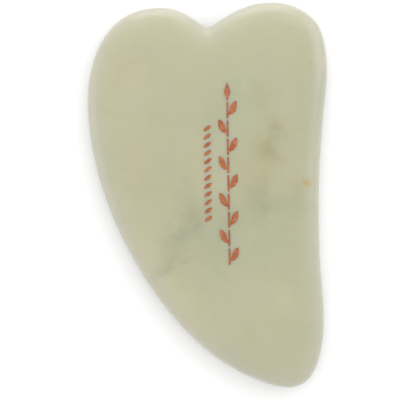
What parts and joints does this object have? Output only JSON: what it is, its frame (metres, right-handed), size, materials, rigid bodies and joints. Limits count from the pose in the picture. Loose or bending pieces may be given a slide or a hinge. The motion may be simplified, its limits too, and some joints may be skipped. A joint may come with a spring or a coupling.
{
  "type": "gua sha scraper",
  "caption": "Flat heart-shaped stone massage scraper with two lobes, a curved tail and rounded edges, with copper-filled ornament engraved in one face.",
  "frame": {"origin": "on the back face, in the middle of the length and width", "axes": "+Y along the long axis from the tail to the two lobes, +X across towards the hip, +Z out of the engraved face"},
  "size_m": [0.0516, 0.083, 0.006],
  "materials": {
    "jade": "gloss",
    "copper_lacquer": "satin"
  },
  "bodies": {
    "root": {"jade_plate": "jade", "sprig_fill_01": "copper_lacquer", "sprig_fill_02": "copper_lacquer", "sprig_fill_03": "copper_lacquer", "sprig_fill_04": "copper_lacquer", "sprig_fill_05": "copper_lacquer", "sprig_fill_06": "copper_lacquer", "sprig_fill_07": "copper_lacquer", "sprig_fill_08": "copper_lacquer", "sprig_fill_09": "copper_lacquer", "sprig_fill_10": "copper_lacquer", "seed_fill_01": "copper_lacquer", "seed_fill_02": "copper_lacquer", "seed_fill_03": "copper_lacquer", "seed_fill_04": "copper_lacquer", "seed_fill_05": "copper_lacquer", "seed_fill_06": "copper_lacquer", "seed_fill_07": "copper_lacquer", "seed_fill_08": "copper_lacquer", "seed_fill_09": "copper_lacquer", "seed_fill_10": "copper_lacquer", "seed_fill_11": "copper_lacquer", "seed_fill_12": "copper_lacquer"}
  },
  "joints": []
}
